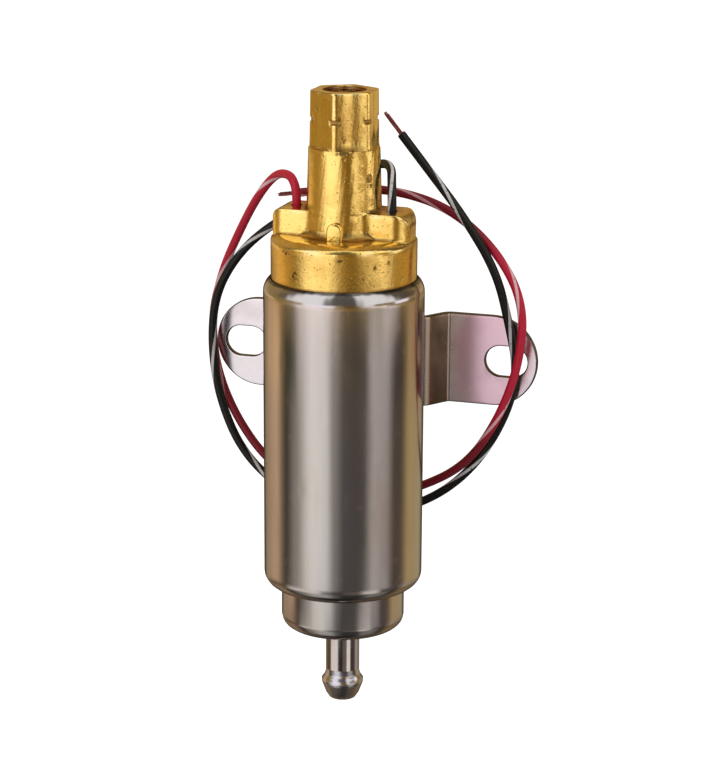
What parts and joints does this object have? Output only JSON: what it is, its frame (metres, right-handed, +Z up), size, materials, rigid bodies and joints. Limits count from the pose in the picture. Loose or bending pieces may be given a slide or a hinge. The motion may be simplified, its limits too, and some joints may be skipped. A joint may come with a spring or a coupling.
{
  "type": "electric fuel pump",
  "caption": "Inline electric fuel pump: steel can with gerotor pump and brushed motor, brass outlet head with hexagon boss, hose nipple inlet, slotted bracket and two free leads.",
  "frame": {"origin": "midway between the two bracket slots, on the flat wall side of the bracket's ears", "axes": "+Z up along the pump's axis towards the brass outlet, +Y from the pump towards the wall it is bolted to, +X to the right seen from the pump's front"},
  "size_m": [0.0835, 0.0459, 0.1497],
  "materials": {
    "shell_steel": "satin drawn stainless steel, faintly brushed along the axis",
    "nipple_steel": "turned and plated steel, semi bright",
    "bracket_zinc": "zinc plated steel, smooth satin with a faint pink cast",
    "brass": "die cast brass with small pits, satin",
    "red_insulation": "crimson thin-wall insulation with a fine pale spiral stripe",
    "black_insulation": "black thin-wall insulation with a fine pale spiral stripe",
    "copper": "bright copper",
    "enamelled_copper": "enamelled copper wire",
    "bearing_bronze": "oil-filled sintered bronze",
    "sintered_iron": "ground sintered iron",
    "lamination_steel": "stacked silicon steel sheets",
    "ferrite": "black sintered ferrite",
    "shaft_steel": "ground hardened steel",
    "spring_steel": "spring wire",
    "carbon": "pressed carbon graphite",
    "moulded_plastic": "glass-filled moulded plastic",
    "acetal": "white acetal",
    "steel_mesh": "stainless steel mesh",
    "seal_rubber": "black fuel-proof rubber"
  },
  "bodies": {
    "housing": {"pump_shell": "shell_steel", "inlet_nipple": "nipple_steel", "strainer_frame": "acetal", "inlet_screen": "steel_mesh", "inlet_plate": "sintered_iron", "thrust_button": "shaft_steel", "pump_ring": "sintered_iron", "outlet_plate": "sintered_iron", "relief_plug": "brass", "relief_spring": "spring_steel", "lower_bearing": "bearing_bronze", "flux_ring": "lamination_steel", "front_magnet": "ferrite", "rear_magnet": "ferrite", "magnet_clips": "spring_steel", "upper_bearing": "bearing_bronze", "outlet_head": "brass", "head_seal": "seal_rubber", "check_spring": "spring_steel", "check_cage": "acetal", "mounting_bracket": "bracket_zinc", "red_lead": "red_insulation", "black_lead": "black_insulation", "red_lead_strands": "copper", "black_lead_strands": "copper", "red_brush_spring": "spring_steel", "red_brush_sleeve": "moulded_plastic", "red_brush_terminal": "brass", "red_lead_grommet": "seal_rubber", "black_brush_spring": "spring_steel", "black_brush_sleeve": "moulded_plastic", "black_brush_terminal": "brass", "black_lead_grommet": "seal_rubber"},
    "armature": {"armature_shaft": "shaft_steel", "armature_core": "lamination_steel", "armature_windings": "enamelled_copper", "commutator_base": "moulded_plastic", "commutator_segments": "copper", "inner_rotor": "sintered_iron"},
    "outer_rotor": {"outer_rotor": "sintered_iron"},
    "check_poppet": {"check_poppet": "acetal"},
    "relief_poppet": {"relief_poppet": "shaft_steel"},
    "red_brush": {"red_brush": "carbon"},
    "black_brush": {"black_brush": "carbon"}
  },
  "joints": [
    {"name": "armature_spin", "type": "hinge", "parent": "housing", "child": "armature", "pos_m": [0, -0.0269, 0], "axis": [0, 0, 1], "continuous": true},
    {"name": "outer_rotor_spin", "type": "hinge", "parent": "housing", "child": "outer_rotor", "pos_m": [0.0009, -0.0269, 0], "axis": [0, 0, 1], "continuous": true},
    {"name": "check_poppet_lift", "type": "slide", "parent": "housing", "child": "check_poppet", "axis": [0, 0, 1], "range_m": [0, 0.0025], "stiffness_N_per_m": 300, "springref_m": -0.002, "deforming": ["check_spring"]},
    {"name": "relief_poppet_lift", "type": "slide", "parent": "housing", "child": "relief_poppet", "axis": [0, 0, -1], "range_m": [0, 0.0015], "stiffness_N_per_m": 500, "springref_m": -0.004, "deforming": ["relief_spring"]},
    {"name": "red_brush_lift", "type": "slide", "parent": "housing", "child": "red_brush", "axis": [0, 0, 1], "range_m": [0, 0.002], "stiffness_N_per_m": 120, "springref_m": -0.008, "deforming": ["red_brush_spring"]},
    {"name": "black_brush_lift", "type": "slide", "parent": "housing", "child": "black_brush", "axis": [0, 0, 1], "range_m": [0, 0.002], "stiffness_N_per_m": 120, "springref_m": -0.008, "deforming": ["black_brush_spring"]}
  ],
  "couplings": [
    {"joint": "outer_rotor_spin", "follows": "armature_spin", "ratio": 0.85714}
  ]
}
